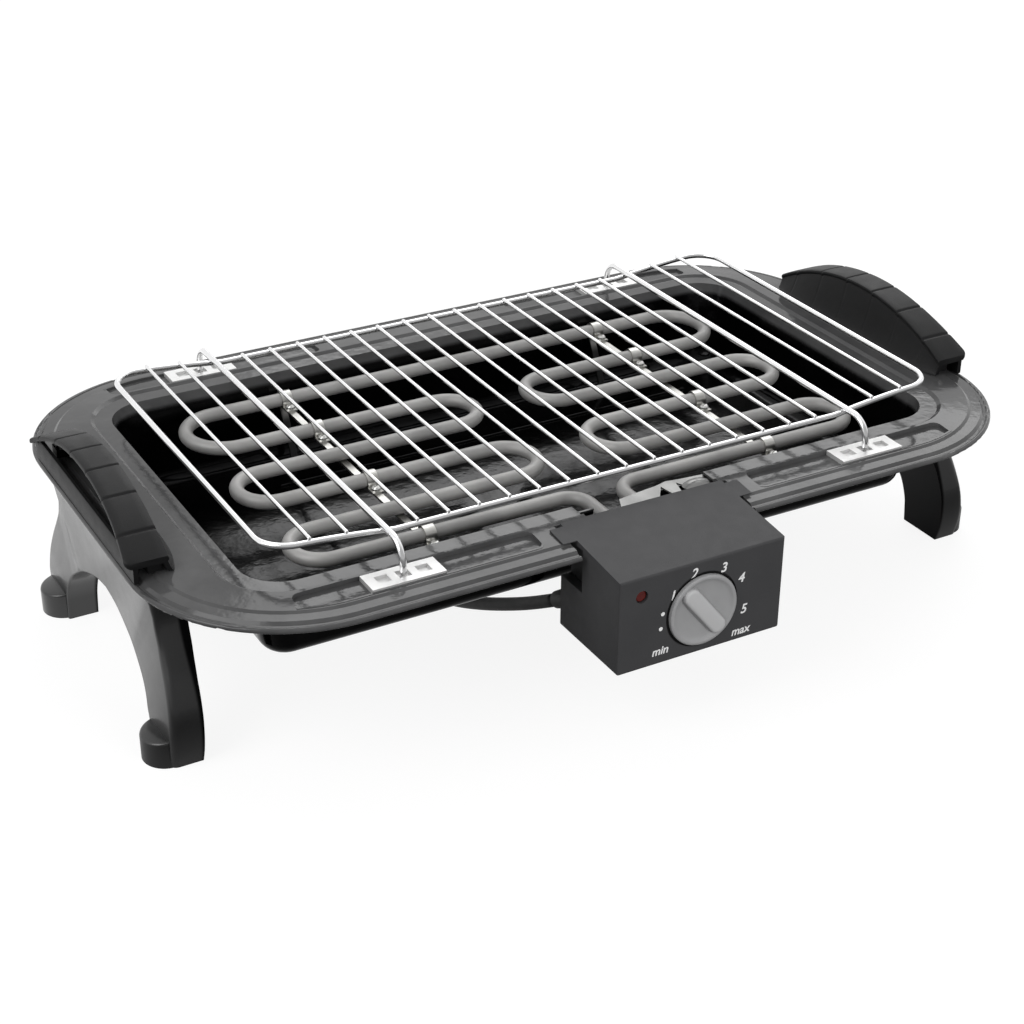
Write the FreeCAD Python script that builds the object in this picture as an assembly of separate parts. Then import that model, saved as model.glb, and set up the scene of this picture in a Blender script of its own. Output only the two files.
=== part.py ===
import FreeCAD, Part
import math
import os

# Electric table grill: an enamelled tub on two moulded supports, a wire rack over a lift-out heater with its control box.
# Millimetres, +Z up, +Y to the back. Modelled about the middle of the tub, on the table.

V = FreeCAD.Vector
X_AXIS, Y_AXIS, Z_AXIS = V(1, 0, 0), V(0, 1, 0), V(0, 0, 1)
SIDES = (("left", -1), ("right", 1))
ENDS = (("front", -1), ("rear", 1))

# Tub, measured to the inside of its basin and along its flange
sheet = 1.2
basin_half_length = 197.0
basin_half_width = 107.0
basin_corner = 22.0
basin_draft = 11.0
basin_bottom_fillet = 8.0
floor_z = 49.0
ledge_z = 95.3
ledge_width = 9.0
step_rise = 1.3
flange_fall = 1.4
rim_half_length = 242.0
rim_half_width = 147.0
rim_corner = 80.0
rim_z = 92.0
rim_bead_radius = 1.4
floor_rib_height = 1.0
floor_rib_width = 5.0
floor_rib_y = 61.0
floor_rib_x = (-115.0, 149.0)
cut_reach = 400.0

# Height plates and the channel that they lie in
channel_inner_y = 119.6
channel_outer_y = 134.4
channel_start_x = 62.0
channel_end_x = 186.0
channel_floor_z = 94.1
plate_half_length = 18.8
plate_thickness = 2.4
socket_size = 6.4
socket_pitch = 10.4
socket_floor = 0.8
leg_x = 132.5
leg_gap = 0.3

# Wire rack
rack_half_length = 190.0
rack_half_width = 107.0
rack_corner = 22.0
rack_z = 108.2
frame_wire = 3.1
rod_wire = 2.0
leg_wire = 3.4
rod_overhang = 0.3
rod_pitch = 16.4
rods_each_side = 7
outer_rod_step = 18.5
weld_depth = 0.5
leg_bend = 11.0
rack_rise = 4.6

# Heating element
element_wire = 7.5
element_z = 84.0
element_left_x = -161.0
element_right_x = 165.0
element_rows = (95.0, 52.0, 19.5, -14.0, -48.0, -79.5)
inner_left_x = -9.0
inner_right_x = 26.0
terminal_spacing = 21.6
terminal_bend = 12.0

# Brackets under the element
bracket_x = (-96.0, 105.0)
bracket_width = 3.8
bracket_thickness = 1.5
bracket_front_y = -94.0
bracket_back_y = 100.5
bracket_foot_y = 85.0
bracket_foot_length = 8.0
bracket_foot_gap = 0.25
clip_rows = (0, 1, 3, 5)
clip_thickness = 1.0
clip_length = 6.0
clip_head_radius = 2.5
clip_head_height = 2.2
tube_seat = 0.05

# Shield over the element's ends
shield_start_x = -30.0
shield_end_x = 45.0
shield_thickness = 0.8
shield_floor_z = 75.0
shield_floor_y = -109.5

# Control box
box_half_width = 46.5
box_front_y = -177.0
box_rear_y = -124.0
box_top_rear_y = -122.0
box_bottom_z = 41.5
box_front_top_z = 92.0
box_rear_top_z = 97.5
box_wall = 2.2
box_edge = 1.2
recess_front_y = -143.5
recess_bottom_z = 70.0
recess_top_z = 93.0
recess_depth = 5.5
tab_half_width = 54.0
tab_front_y = -138.0
tab_front_thickness = 0.45
tab_rear_thickness = 0.85
box_gap = 3.0
back_thickness = 2.0
shield_z = recess_top_z - 0.1

# Knob, thermostat and lamp
knob_z = 65.5
knob_radius = 19.4
knob_disc = 4.0
knob_dish_radius = 17.4
knob_dish_depth = 1.6
knob_grip_proud = 0.4
knob_grip_width = 9.5
knob_grip_length = 34.4
knob_pointer_turn = 38.5
knob_gap = 0.4
knob_recess = 0.8
knob_recess_radius = knob_radius + 0.8
knob_back_y = box_front_y + knob_recess - knob_gap
shaft_radius = 3.0
shaft_clearance = 0.05
lens_x = -34.3
lens_z = 81.7
lens_radius = 3.2

# Side supports, set in from the rim's ends
support_inner_x = rim_half_length - 19.0
support_outer_x = rim_half_length - 4.0
support_top_outer_x = rim_half_length - 1.3
support_half_y = 89.6
support_waist_y = 82.0
support_top_y = 84.0
support_top_z = 89.8
support_wall = 2.4
arch_top_z = 55.5
arch_foot_y = 66.0
foot_height = 17.0
toe_reach = 10.0
toe_wall = 12.0
toe_height = 25.5
toe_top_radius = 3.0
toe_dome = V(8.9, 0, 20.3)

# Handles, placed from the rim's ends
handle_foot_z = rim_z + 1.4
handle_end_z = 104.5
handle_crown_z = 124.5
handle_strip = 3.0
handle_strip_inner_x = rim_half_length - 17.0
handle_strip_outer_x = rim_half_length + 4.5
handle_half_y = 73.5
handle_band_x = rim_half_length - 2.0
handle_band_thickness = 2.4
handle_band_share = 0.405
handle_skirt_foot_x = rim_half_length - 25.0
handle_skirt_foot_z = ledge_z + 0.9
handle_skirt_half_y = 68.0
handle_wall = 2.4
groove_pitch = 23.5
groove_width = 1.6
groove_depth = 0.6
mount_x = rim_half_length - 11.0
mount_half_x = 4.0
mount_half_y = 4.5
mount_top_z = ledge_z + 5.0
mount_screw_radius = 2.9
mount_screw_head = 1.8

# Power cord
cord = 7.0
cord_gap = 0.3
coil_lie = 4.6
coil_pitch = 7.6
coil_outer_radius = 46.2
coil_centre = (-20.0, 203.0)
plug_rise = 6.6
plug_rise_length = 40.0
tie_width = 6.0
tie_thickness = 0.7
tie_gap = 0.3
plug_radius = 18.0
plug_boot_length = 26.0
plug_body_length = 34.0
plug_pin_length = 19.0
plug_pin_radius = 2.4
plug_pin_spacing = 19.0
gland_length = 20.0
gland_start = V(-35.0, box_rear_y, 55.0)
gland_direction = V(-0.16, 0.84, -0.52)

# The cord's free stretch from the gland's mouth, along the table under the tub, to the coil behind it
cord_points = [
    (-41.2, -91.5, 35.2),
    (-45.0, -72.0, 25.0),
    (-50.0, -52.0, 16.0),
    (-56.0, -32.0, 9.0),
    (-62.0, -11.0, 4.8),
    (-67.0, 11.0, 3.6),
    (-70.0, 34.0, 3.6),
    (-71.0, 58.0, 3.7),
    (-71.0, 84.0, 3.8),
    (-69.8, 112.0, 4.1),
    (-67.8, 140.0, 4.4),
    (-66.2, 168.0, 4.6),
]


def export(name, shape):
    """Write one node, moved so that the origin is under the middle of the object's box."""
    box_front = knob_back_y - knob_disc - knob_grip_proud
    box_back = rim_half_width + rim_bead_radius
    placed = shape.copy()
    placed.translate(V(0, -(box_front + box_back) / 2, 0))
    assert placed.isValid(), name
    placed.exportStep(os.path.join("parts", name + ".step"))


def box_between(low, high):
    """A plain block from its low corner to its high corner."""
    size = V(*high) - V(*low)
    return Part.makeBox(size.x, size.y, size.z, V(*low))


def wire_of(points, arcs=()):
    """A closed wire through points; arcs maps the index of a side to a point in the middle of its curve."""
    middle_of = dict(arcs)
    edges = []
    for index, start in enumerate(points):
        end = points[(index + 1) % len(points)]
        if index in middle_of:
            edges.append(Part.Arc(start, middle_of[index], end).toShape())
        else:
            edges.append(Part.LineSegment(start, end).toShape())
    return Part.Wire(edges)


def prism(points, travel, arcs=()):
    """The closed outline through points, pushed along travel."""
    return Part.Face(wire_of(points, arcs)).extrude(travel)


def rounded_ring(half_x, half_y, radius, z):
    """The eight edges of a rounded rectangle, each side followed by its corner."""
    inner_x = half_x - radius
    inner_y = half_y - radius
    edges = []
    for quarter in range(4):
        turn = FreeCAD.Rotation(Z_AXIS, 90 * quarter)
        along, across = (inner_x, half_y) if quarter % 2 else (inner_y, half_x)
        next_along = inner_y if quarter % 2 else inner_x
        side_start = turn.multVec(V(across, -along, z))
        side_end = turn.multVec(V(across, along, z))
        centre = V(across - radius, along, z)
        corner_middle = turn.multVec(centre + V(math.sqrt(0.5), math.sqrt(0.5), 0) * radius)
        corner_end = turn.multVec(centre + V(0, radius, 0))
        assert abs(corner_end.x) <= half_x + 1e-6 and next_along > 0
        edges.append(Part.LineSegment(side_start, side_end).toShape())
        edges.append(Part.Arc(side_end, corner_middle, corner_end).toShape())
    return edges


def ring_solid(half_x, half_y, radius, low_z, high_z):
    """An upright block with rounded corners."""
    return Part.Face(Part.Wire(rounded_ring(half_x, half_y, radius, low_z))).extrude(V(0, 0, high_z - low_z))


def ring_loft(low, high):
    """A block that tapers from one rounded rectangle to another."""
    return Part.makeLoft([Part.Wire(rounded_ring(*low)), Part.Wire(rounded_ring(*high))], True, True)


def closed_bands(rings):
    """A closed tube of ruled bands through rings that come back to the first."""
    faces = []
    for low, high in zip(rings, rings[1:] + rings[:1]):
        for first, second in zip(rounded_ring(*low), rounded_ring(*high)):
            faces.append(Part.makeRuledSurface(first, second))
    shell = Part.Shell(faces)
    shell.sewShape()
    return Part.Solid(Part.Shell(shell.Faces))


def sheet_rings(profile):
    """Rings on the top of a sheet, then back along its underside, offset square to the profile."""
    slopes = []
    for (ax, _, _, az), (bx, _, _, bz) in zip(profile, profile[1:]):
        length = math.hypot(bx - ax, bz - az)
        slopes.append(((bz - az) / length, -(bx - ax) / length))
    under = []
    for index, (half_x, half_y, radius, z) in enumerate(profile):
        before = slopes[max(index - 1, 0)]
        after = slopes[min(index, len(slopes) - 1)]
        reach = sheet / (1 + before[0] * after[0] + before[1] * after[1])
        shift = (before[0] + after[0]) * reach
        drop = (before[1] + after[1]) * reach
        under.append((half_x + shift, half_y + shift, radius + shift, z + drop))
    return list(profile) + under[::-1]


def tub_flange():
    """The ledge, the step up, the sloping flange and the two steps down to the rim."""
    ledge_x = basin_half_length + ledge_width
    ledge_y = basin_half_width + ledge_width
    outer_x = rim_half_length
    outer_y = rim_half_width
    outer_z = ledge_z + step_rise - flange_fall
    profile = [
        (basin_half_length, basin_half_width, basin_corner, ledge_z),
        (ledge_x, ledge_y, basin_corner + ledge_width, ledge_z),
        (ledge_x + 2, ledge_y + 2, basin_corner + ledge_width + 2, ledge_z + step_rise),
        (outer_x - 11, outer_y - 10.5, rim_corner - 10.5, outer_z),
        (outer_x - 9.5, outer_y - 9, rim_corner - 9, outer_z - 1),
        (outer_x - 4, outer_y - 4, rim_corner - 4, outer_z - 1.4),
        (outer_x - 2.5, outer_y - 2.5, rim_corner - 2.5, rim_z + 0.3),
        (outer_x, outer_y, rim_corner, rim_z),
    ]
    bead_path = Part.Wire(rounded_ring(outer_x, outer_y, rim_corner, rim_z - sheet / 2))
    bead_section = Part.Wire(Part.makeCircle(rim_bead_radius, V(outer_x, 0, rim_z - sheet / 2), Y_AXIS))
    bead = bead_path.makePipeShell([bead_section], True, True)
    return closed_bands(sheet_rings(profile)).fuse(bead)


def tub_basin():
    """The tapered basin with its rounded bottom, a shell of one sheet."""
    bottom = (basin_half_length - basin_draft, basin_half_width - basin_draft, basin_corner - basin_draft)
    top = (basin_half_length, basin_half_width, basin_corner)
    solids = []
    for wall in (sheet, 0.0):
        low_z = floor_z - wall
        low = tuple(value + wall for value in bottom) + (low_z,)
        high = tuple(value + wall for value in top) + (ledge_z if wall else ledge_z + 0.01,)
        block = ring_loft(low, high)
        edges = [edge for edge in block.Edges if edge.BoundBox.ZMax < low_z + 0.01]
        solids.append(block.makeFillet(basin_bottom_fillet + wall, edges))
    return solids[0].cut(solids[1])


def channel_outline(end, margin, low_z, high_z):
    """A block over one channel: a strip along the flange, rounded where the flange turns the corner."""
    middle_y = (channel_inner_y + channel_outer_y) / 2
    half_y = (channel_outer_y - channel_inner_y) / 2 + margin
    strips = []
    for _, side in SIDES:
        middle_x = side * (channel_start_x + channel_end_x) / 2
        half_x = (channel_end_x - channel_start_x) / 2 + margin
        strip = ring_solid(half_x, half_y, 4 + margin, low_z, high_z)
        strip.translate(V(middle_x, end * middle_y, 0))
        strips.append(strip)
    corner = ring_solid(rim_half_length - 12 + margin, channel_outer_y + margin, rim_corner - 12 + margin, low_z, high_z)
    return strips[0].fuse(strips[1]).common(corner)


def tub_channels(tub):
    """Press the four channels into the flange."""
    for _, end in ENDS:
        tub = tub.cut(channel_outline(end, 0, channel_floor_z, ledge_z + 5))
        tray = channel_outline(end, sheet, channel_floor_z - sheet, ledge_z + 0.2)
        tray = tray.cut(channel_outline(end, 0, channel_floor_z, ledge_z + 5))
        tub = tub.fuse(tray)
    return tub


def plate_y():
    """The middle line of the plates, legs and sockets, across the tub."""
    return (channel_inner_y + channel_outer_y) / 2


def make_tub():
    """The whole tub, with the bay for the control box and the notch for the element's ends."""
    basin = tub_basin()
    tub = tub_flange().fuse(basin)
    tub = tub_channels(tub)
    bay_half = box_half_width + box_gap
    bay = box_between((-bay_half, -cut_reach, 60), (bay_half, box_top_rear_y + 0.6, cut_reach))
    notch_half = terminal_spacing / 2 + element_wire
    notch_low = element_z - element_wire
    notch = box_between((-notch_half, -rim_half_width, notch_low), (notch_half, -basin_half_width + 12, ledge_z - 3 * sheet))
    shield_cut = box_between(
        (shield_start_x - 1, -rim_half_width, shield_z - 2), (shield_end_x + 1, -basin_half_width + 3, ledge_z + 9))
    rib_start, rib_end = floor_rib_x
    rib_back = floor_rib_y + floor_rib_width
    rib = box_between((rib_start, floor_rib_y, floor_z - 0.2), (rib_end, rib_back, floor_z + floor_rib_height))
    rib = rib.makeFillet(0.9, [edge for edge in rib.Edges if edge.BoundBox.ZMin > floor_z])
    return tub.cut(bay).cut(notch).cut(shield_cut).fuse(rib).removeSplitter()


def plate_low_z():
    """The underside of the plates, just clear of the channel's floor."""
    return channel_floor_z + 0.05


def make_plate(side, end):
    """A height plate with its three square pockets."""
    half_x = plate_half_length
    half_y = (channel_outer_y - channel_inner_y) / 2 - 0.2
    low_z = plate_low_z()
    plate = box_between((-half_x, -half_y, low_z), (half_x, half_y, low_z + plate_thickness))
    half = socket_size / 2
    for step in (-1, 0, 1):
        x = step * socket_pitch
        plate = plate.cut(box_between((x - half, -half, low_z + socket_floor), (x + half, half, low_z + 5)))
    plate.translate(V(side * leg_x, end * plate_y(), 0))
    return plate


def rod_places():
    """The thin rods: their place along the rack and how far the rack's raised end lifts them."""
    places = [(step * rod_pitch, 0.0) for step in range(-rods_each_side, rods_each_side + 1)]
    for _, side in SIDES:
        for count in (1, 2):
            x = leg_x + count * outer_rod_step
            places.append((side * x, rack_lift_at(x)))
    return places


def rack_lift_at(x):
    """The rack's ends rise in a smooth curve outside the legs."""
    share = max(0.0, (abs(x) - leg_x + 6) / (rack_half_length - leg_x + 6))
    return rack_rise * math.sin(share * math.pi / 2)


def bent_path(points, radii):
    """Straight runs through points, each corner rounded by its radius."""
    edges = []
    last = points[0]
    for before, corner, after, radius in zip(points, points[1:], points[2:], radii):
        inward = (before - corner).normalize()
        outward = (after - corner).normalize()
        half_turn = (math.pi - inward.getAngle(outward)) / 2
        setback = radius * math.tan(half_turn)
        start = corner + inward * setback
        end = corner + outward * setback
        bisector = (inward + outward).normalize()
        middle = corner + bisector * (radius / math.cos(half_turn) - radius)
        if (start - last).Length > 1e-6:
            edges.append(Part.LineSegment(last, start).toShape())
        edges.append(Part.Arc(start, middle, end).toShape())
        last = end
    if (points[-1] - last).Length > 1e-6:
        edges.append(Part.LineSegment(last, points[-1]).toShape())
    return Part.Wire(edges)


def tube_on(path, diameter):
    """A round wire or tube of one diameter along a path of tangent runs and arcs."""
    first = path.OrderedEdges[0]
    start = first.valueAt(first.FirstParameter)
    direction = first.tangentAt(first.FirstParameter)
    section = Part.Wire(Part.makeCircle(diameter / 2, start, direction))
    return path.makePipeShell([section], True, True)


def make_rack_frame():
    """The rack's outer wire: a rounded rectangle whose two ends rise."""
    low_x = leg_x - 6
    rise_x = rack_half_length - rack_corner - 4
    solids = []
    lower = rack_z
    upper = rack_z + rack_rise
    half_y = rack_half_width
    for _, side in SIDES:
        points = [
            V(0, -half_y, lower), V(side * low_x, -half_y, lower), V(side * rise_x, -half_y, upper),
            V(side * rack_half_length, -half_y, upper), V(side * rack_half_length, half_y, upper),
            V(side * rise_x, half_y, upper), V(side * low_x, half_y, lower), V(0, half_y, lower),
        ]
        radii = [80, 80, rack_corner - 4, rack_corner - 4, 80, 80]
        solids.append(tube_on(bent_path(points, radii), frame_wire))
    return solids[0].fuse(solids[1]).removeSplitter()


def make_rack_rods():
    """The thin cross rods, each welded on top of the frame wire."""
    rods = []
    for x, lift in rod_places():
        z = rack_z + lift + (frame_wire + rod_wire) / 2 - weld_depth
        start = V(x, -rack_half_width - rod_overhang, z)
        rod = Part.makeCylinder(rod_wire / 2, 2 * (rack_half_width + rod_overhang), start, Y_AXIS)
        rods.append(rod)
    return Part.makeCompound(rods)


def make_rack_leg(side):
    """A thick rod across the rack whose ends bend down into the sockets."""
    z = rack_z + rack_lift_at(leg_x) + (frame_wire + leg_wire) / 2 - weld_depth
    foot_z = plate_low_z() + socket_floor + leg_gap
    x = side * leg_x
    points = [V(x, -plate_y(), foot_z), V(x, -plate_y(), z), V(x, plate_y(), z), V(x, plate_y(), foot_z)]
    return tube_on(bent_path(points, [leg_bend, leg_bend]), leg_wire)


def element_path():
    """The element's run: six rows joined by round turns at both ends and in the middle, and out to the front."""
    row = element_rows
    z = element_z
    middle = (inner_left_x + inner_right_x) / 2
    end_y = box_rear_y - 4
    half = terminal_spacing / 2
    left = [
        V(-half, end_y, z), V(-half, row[5], z), V(element_left_x, row[5], z), V(element_left_x, row[4], z),
        V(inner_left_x, row[4], z), V(inner_left_x, row[3], z), V(element_left_x, row[3], z),
        V(element_left_x, row[2], z), V(inner_left_x, row[2], z), V(inner_left_x, row[1], z),
        V(element_left_x, row[1], z), V(element_left_x, row[0], z), V(middle, row[0], z),
    ]
    right = []
    for point in left[:-1]:
        if point.x == -half:
            x = half
        elif point.x == element_left_x:
            x = element_right_x
        else:
            x = inner_right_x
        right.append(V(x, point.y, z))
    radii = [terminal_bend]
    for first, second in ((5, 4), (4, 3), (3, 2), (2, 1), (1, 0)):
        radii += [(row[second] - row[first]) / 2 - 0.01] * 2
    return left + right[::-1], radii + [None] + radii[::-1]


def make_element():
    """The tubular heating element as one round tube."""
    points, radii = element_path()
    middle = radii.index(None)
    del points[middle + 1]
    del radii[middle]
    return tube_on(bent_path(points, radii), element_wire)


def bracket_top_z():
    """The top of the strips that the element lies on."""
    return element_z - element_wire / 2 - tube_seat


def make_bracket(x):
    """A bent strip under the rows, with slanting legs that stand on the basin's floor on inward feet."""
    top = bracket_top_z()
    low = floor_z + bracket_foot_gap
    thick = bracket_thickness
    outside = []
    inside = []
    for tip, end in ((bracket_front_y, -1), (bracket_back_y, 1)):
        foot = end * bracket_foot_y
        slant = (tip - foot) / (top - low)
        across = end * thick * math.hypot(1, slant)
        toe = foot - end * bracket_foot_length
        outside.append([V(x, tip, top), V(x, foot, low), V(x, toe, low), V(x, toe, low + thick)])
        inside.append([V(x, foot + slant * thick - across, low + thick), V(x, tip - slant * thick - across, top - thick)])
    outline = outside[0][::-1] + outside[1] + inside[1] + inside[0][::-1]
    strip = prism(outline, V(bracket_width, 0, 0))
    strip.translate(V(-bracket_width / 2, 0, 0))
    return strip


def make_clips(x):
    """Saddle clips that hold rows of the element down on one bracket."""
    base = bracket_top_z()
    inner = element_wire / 2 + tube_seat
    outer = inner + clip_thickness
    solids = []
    for index in clip_rows:
        y = element_rows[index]
        saddle = Part.makeCylinder(outer, clip_length, V(x - clip_length / 2, y, element_z), X_AXIS)
        saddle = saddle.fuse(box_between((x - clip_length / 2, y - outer, base), (x + clip_length / 2, y + outer, element_z)))
        tongue_y = y - clip_screw_offset() - clip_head_radius - 0.5
        saddle = saddle.fuse(box_between((x - clip_length / 2, tongue_y, base), (x + clip_length / 2, y, base + clip_thickness)))
        hole = Part.makeCylinder(inner, clip_length + 2, V(x - clip_length / 2 - 1, y, element_z), X_AXIS)
        slot = box_between((x - clip_length, y - inner, base - 1), (x + clip_length, y + inner, element_z))
        saddle = saddle.cut(hole).cut(slot)
        solids.append(saddle.removeSplitter())
    return Part.makeCompound(solids)


def clip_screw_offset():
    """How far in front of its row a clip's screw stands."""
    return element_wire / 2 + clip_thickness + clip_head_radius + 0.3


def screw_head(seat, radius, height):
    """A slotted screw head with a bevelled rim, standing on its seat."""
    head = Part.makeCylinder(radius, height, seat)
    rim = [edge for edge in head.Edges if edge.BoundBox.ZMin > seat.z + height - 0.1]
    head = head.makeChamfer(0.35 * height, rim)
    slot = box_between((-radius, -0.1 * radius, 0), (radius, 0.1 * radius, height))
    slot.rotate(V(0, 0, 0), Z_AXIS, 30)
    slot.translate(seat + V(0, 0, 0.6 * height))
    return head.cut(slot)


def make_clip_screws(x):
    """Screws through the clips' tongues."""
    seat_z = bracket_top_z() + clip_thickness
    places = [V(x, element_rows[index] - clip_screw_offset(), seat_z) for index in clip_rows]
    return Part.makeCompound([screw_head(place, clip_head_radius, clip_head_height) for place in places])


def make_shield():
    """A plate over the element's ends, fixed behind the box, with triangular openings and a floor under the ends."""
    thick = shield_thickness
    back = -basin_half_width - 0.5
    wall_y = box_rear_y + thick
    floor_top = shield_floor_z + thick
    profile = [
        V(shield_start_x, box_rear_y, shield_floor_z), V(shield_start_x, shield_floor_y, shield_floor_z),
        V(shield_start_x, shield_floor_y, floor_top), V(shield_start_x, wall_y, floor_top),
        V(shield_start_x, wall_y, shield_z - thick), V(shield_start_x, back, shield_z - thick),
        V(shield_start_x, back, shield_z), V(shield_start_x, box_rear_y, shield_z),
    ]
    plate = prism(profile, V(shield_end_x - shield_start_x, 0, 0))
    for side in (-1, 1):
        start = V(side * terminal_spacing / 2, box_rear_y - 1, element_z)
        plate = plate.cut(Part.makeCylinder(element_wire / 2 + 0.4, 4, start, Y_AXIS))
    front = box_rear_y + 4.5
    for x in (-14.0, 8.0, 30.0):
        points = [V(x - 9, front, shield_z - 3), V(x + 9, front, shield_z - 3), V(x - 9, back - 2.5, shield_z - 3)]
        plate = plate.cut(prism(points, V(0, 0, 6)))
    return plate


def box_top_z(y):
    """Height of the control box's sloping top."""
    return box_front_top_z + (box_rear_top_z - box_front_top_z) * (y - box_front_y) / (box_top_rear_y - box_front_y)


def make_box_cover():
    """The moulded control box: front, sides and sloping top, open at the back."""
    half = box_half_width
    wall = box_wall
    side_view = [
        V(-half, box_front_y, box_bottom_z), V(-half, box_rear_y, box_bottom_z), V(-half, box_rear_y, recess_top_z),
        V(-half, box_top_rear_y, recess_top_z), V(-half, box_top_rear_y, box_rear_top_z),
        V(-half, box_front_y, box_front_top_z),
    ]
    block = prism(side_view, V(2 * half, 0, 0))
    front_edges = [
        edge for edge in block.Edges
        if edge.BoundBox.YMax < box_front_y + 0.01 or edge.BoundBox.ZMax < box_bottom_z + 0.01
    ]
    block = block.makeFillet(box_edge, front_edges)
    low = V(-half + wall, 0, 0)
    hollow_view = [
        V(low.x, box_front_y + wall, box_bottom_z + wall), V(low.x, box_rear_y + 5, box_bottom_z + wall),
        V(low.x, box_rear_y + 5, recess_top_z - wall), V(low.x, box_front_y + wall, box_front_top_z - wall),
    ]
    hollow = prism(hollow_view, V(2 * (half - wall), 0, 0))
    for _, side in SIDES:
        inner = side * (half - recess_depth)
        outer = side * (half + 5)
        low_x, high_x = sorted((inner, outer))
        recess = box_between((low_x, recess_front_y, recess_bottom_z), (high_x, box_rear_y + 1, recess_top_z))
        lining_low, lining_high = sorted((side * (half - recess_depth - wall), outer))
        lining = box_between(
            (lining_low, recess_front_y - wall, recess_bottom_z - wall), (lining_high, box_rear_y + 6, recess_top_z))
        hollow = hollow.cut(lining)
        block = block.cut(recess)
    cover = block.cut(hollow)
    tab = []
    tab_rear_y = box_rear_y - 1
    corners = ((tab_front_y, tab_front_thickness), (tab_rear_y, tab_rear_thickness), (tab_rear_y, 0), (tab_front_y, 0))
    for y, drop in corners:
        tab.append(V(-tab_half_width, y, box_top_z(y) - drop))
    cover = cover.fuse(prism(tab, V(2 * tab_half_width, 0, 0)).cut(hollow))
    shaft_hole = Part.makeCylinder(shaft_radius + shaft_clearance, 3 * wall, V(0, box_front_y - wall, knob_z), Y_AXIS)
    lens_hole = Part.makeCylinder(lens_radius + 0.1, 3 * wall, V(lens_x, box_front_y - wall, lens_z), Y_AXIS)
    recess = Part.makeCylinder(knob_recess_radius, wall + knob_recess, V(0, box_front_y - wall, knob_z), Y_AXIS)
    return cover.cut(shaft_hole).cut(lens_hole).cut(recess).removeSplitter()


def make_box_back():
    """The plate that closes the control box behind, with holes for the element's ends."""
    half = box_half_width - box_wall - 0.2
    upper_half = box_half_width - recess_depth - box_wall - 0.2
    low = box_bottom_z + box_wall + 0.2
    front = box_rear_y - back_thickness
    step = recess_bottom_z - box_wall - 0.2
    top = recess_top_z - box_wall - 0.4
    outline = [
        V(-half, front, low), V(half, front, low), V(half, front, step), V(upper_half, front, step),
        V(upper_half, front, top), V(-upper_half, front, top), V(-upper_half, front, step), V(-half, front, step),
    ]
    back = prism(outline, V(0, back_thickness, 0))
    for side in (-1, 1):
        hole = Part.makeCylinder(element_wire / 2 + 0.1, 10, V(side * terminal_spacing / 2, front - 4, element_z), Y_AXIS)
        back = back.cut(hole)
    return back


def make_knob():
    """The round knob: a thick disc with a dished face and a grip bar across the dish."""
    front_y = knob_back_y - knob_disc
    disc = Part.makeCylinder(knob_radius, knob_disc, V(0, knob_back_y, knob_z), -Y_AXIS)
    rim = [edge for edge in disc.Edges if edge.BoundBox.YMax < front_y + 0.01]
    disc = disc.makeFillet(0.9, rim)
    dish_floor = V(0, front_y + knob_dish_depth, knob_z)
    disc = disc.cut(Part.makeCylinder(knob_dish_radius, knob_disc, dish_floor, -Y_AXIS))
    straight = (knob_grip_length - knob_grip_width) / 2
    half_width = knob_grip_width / 2
    root_y = front_y + knob_dish_depth + 0.4
    points = [
        V(-half_width, root_y, -straight), V(half_width, root_y, -straight),
        V(half_width, root_y, straight), V(-half_width, root_y, straight),
    ]
    arcs = {0: V(0, root_y, -straight - half_width), 2: V(0, root_y, straight + half_width)}
    grip = prism(points, V(0, front_y - knob_grip_proud - root_y, 0), arcs)
    top_edges = [edge for edge in grip.Edges if edge.BoundBox.YMax < front_y - knob_grip_proud + 0.01]
    grip = grip.makeFillet(0.8, top_edges)
    grip.rotate(V(0, 0, 0), Y_AXIS, -knob_pointer_turn)
    grip.translate(V(0, 0, knob_z))
    return disc.fuse(grip).removeSplitter()


def make_shaft():
    """The thermostat's shaft, from the knob through the box's front."""
    length = box_front_y + box_wall + 1.0 - knob_back_y
    return Part.makeCylinder(shaft_radius, length, V(0, knob_back_y, knob_z), Y_AXIS)


def make_thermostat():
    """The thermostat's body behind the front wall."""
    front = box_front_y + box_wall + 0.05
    body = Part.makeCylinder(14, 12, V(0, front + 1.1, knob_z), Y_AXIS)
    plate = box_between((-16, front, knob_z - 9), (16, front + 1.2, knob_z + 9))
    hole = Part.makeCylinder(shaft_radius + shaft_clearance, 6, V(0, front - 1, knob_z), Y_AXIS)
    return body.fuse(plate).cut(hole)


def make_lens():
    """The indicator's domed red lens, set a little below the front."""
    seat = box_front_y + 1.0
    lens = Part.makeCylinder(lens_radius, box_wall + 0.6, V(lens_x, seat, lens_z), Y_AXIS)
    return lens.makeFillet(1.0, [edge for edge in lens.Edges if edge.BoundBox.YMax < seat + 0.01])


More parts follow.
